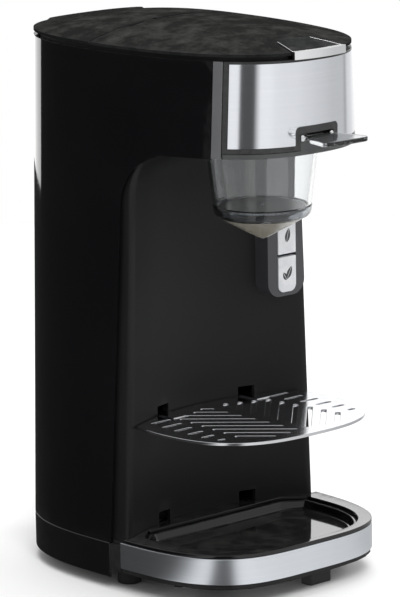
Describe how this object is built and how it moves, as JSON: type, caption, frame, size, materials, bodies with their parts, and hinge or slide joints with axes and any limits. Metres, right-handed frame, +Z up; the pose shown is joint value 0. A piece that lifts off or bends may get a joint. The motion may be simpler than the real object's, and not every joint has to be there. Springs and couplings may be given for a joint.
{
  "type": "automatic tea maker",
  "caption": "Countertop tea maker: tall column with lidded water tank, clear pull-out infuser under an overhanging head, slotted cup shelf, lift-out drip tray and push buttons.",
  "frame": {"origin": "middle of the whole part's footprint, handle included, on the surface it stands on", "axes": "+Z up, -Y is the front where the cup goes, +X is to the right as seen from the front"},
  "size_m": [0.1562, 0.2366, 0.3303],
  "materials": {
    "gloss_black": "polished",
    "satin_black": "satin",
    "soft_black": "fine grain",
    "satin_grey": "satin",
    "brushed_steel": "brushed",
    "polished_steel": "polished",
    "clear_plastic": "clear",
    "pearl_plastic": "pearly",
    "key_plastic": "satin",
    "rubber": "matte",
    "cast_aluminium": "as cast",
    "silicone": "milky",
    "tank_plastic": "frosted",
    "board": "coated"
  },
  "bodies": {
    "body": {"foot_left": "rubber", "foot_right": "rubber", "foot_rear_left": "rubber", "foot_rear_right": "rubber", "foot_front": "rubber", "bottom_plate": "soft_black", "base_chassis": "satin_black", "rear_skirt": "gloss_black", "base_trim_band": "brushed_steel", "base_rim": "gloss_black", "left_side_panel": "gloss_black", "right_side_panel": "gloss_black", "rear_panel": "satin_black", "side_trim_left": "satin_grey", "side_trim_right": "satin_grey", "column_front_cover": "satin_black", "strong_switch": "soft_black", "light_switch": "soft_black", "control_board": "board", "head_frame": "satin_black", "head_front_panel": "brushed_steel", "infuser_housing": "soft_black", "spray_head": "soft_black", "top_deck": "soft_black", "rear_top_cover": "satin_black", "lid_hinge_pin": "brushed_steel", "water_tank": "tank_plastic", "check_valve": "soft_black", "heater_tube": "cast_aluminium", "heater_bracket": "brushed_steel", "thermostat": "brushed_steel", "hot_hose": "silicone", "cold_hose": "silicone", "rear_screw_low_left": "brushed_steel", "rear_screw_low_right": "brushed_steel", "rear_screw_top_left": "brushed_steel", "rear_screw_top_right": "brushed_steel", "base_screw_front_left": "brushed_steel", "base_screw_front_right": "brushed_steel", "base_screw_rear_left": "brushed_steel", "base_screw_rear_right": "brushed_steel", "cord_gland": "rubber"},
    "lid": {"lid": "satin_black", "lid_grip_trim": "polished_steel", "lid_grip_pad": "soft_black"},
    "tray": {"drip_tray": "gloss_black"},
    "shelf": {"cup_shelf": "polished_steel"},
    "infuser": {"infuser_drawer": "soft_black", "infuser_chamber": "clear_plastic", "infuser_ring": "clear_plastic", "filter_disc": "brushed_steel", "outlet_cone": "pearl_plastic", "infuser_handle": "clear_plastic", "handle_pin_left": "polished_steel", "handle_pin_right": "polished_steel"},
    "valve": {"valve_plunger": "satin_grey"},
    "strong_key": {"strong_button": "key_plastic"},
    "light_key": {"light_button": "key_plastic"}
  },
  "joints": [
    {"name": "lid_hinge", "type": "hinge", "parent": "body", "child": "lid", "pos_m": [0, 0.0249, 0.3281], "axis": [-1, 0, 0], "range_deg": [0, 95]},
    {"name": "infuser_slide", "type": "slide", "parent": "body", "child": "infuser", "axis": [0, -1, 0], "range_m": [0, 0.085]},
    {"name": "valve_lift", "type": "slide", "parent": "infuser", "child": "valve", "axis": [0, 0, 1], "range_m": [0, 0.003], "stiffness_N_per_m": 60, "springref_m": -0.003},
    {"name": "strong_press", "type": "slide", "parent": "body", "child": "strong_key", "axis": [0, 1, 0], "range_m": [0, 0.0013], "stiffness_N_per_m": 600, "springref_m": -0.0006},
    {"name": "light_press", "type": "slide", "parent": "body", "child": "light_key", "axis": [0, 1, 0], "range_m": [0, 0.0013], "stiffness_N_per_m": 600, "springref_m": -0.0006},
    {"name": "shelf_slide", "type": "slide", "parent": "body", "child": "shelf", "axis": [0, -1, 0], "range_m": [0, 0.06]},
    {"name": "tray_lift", "type": "slide", "parent": "body", "child": "tray", "axis": [0, 0, 1], "range_m": [0, 0.045]}
  ]
}
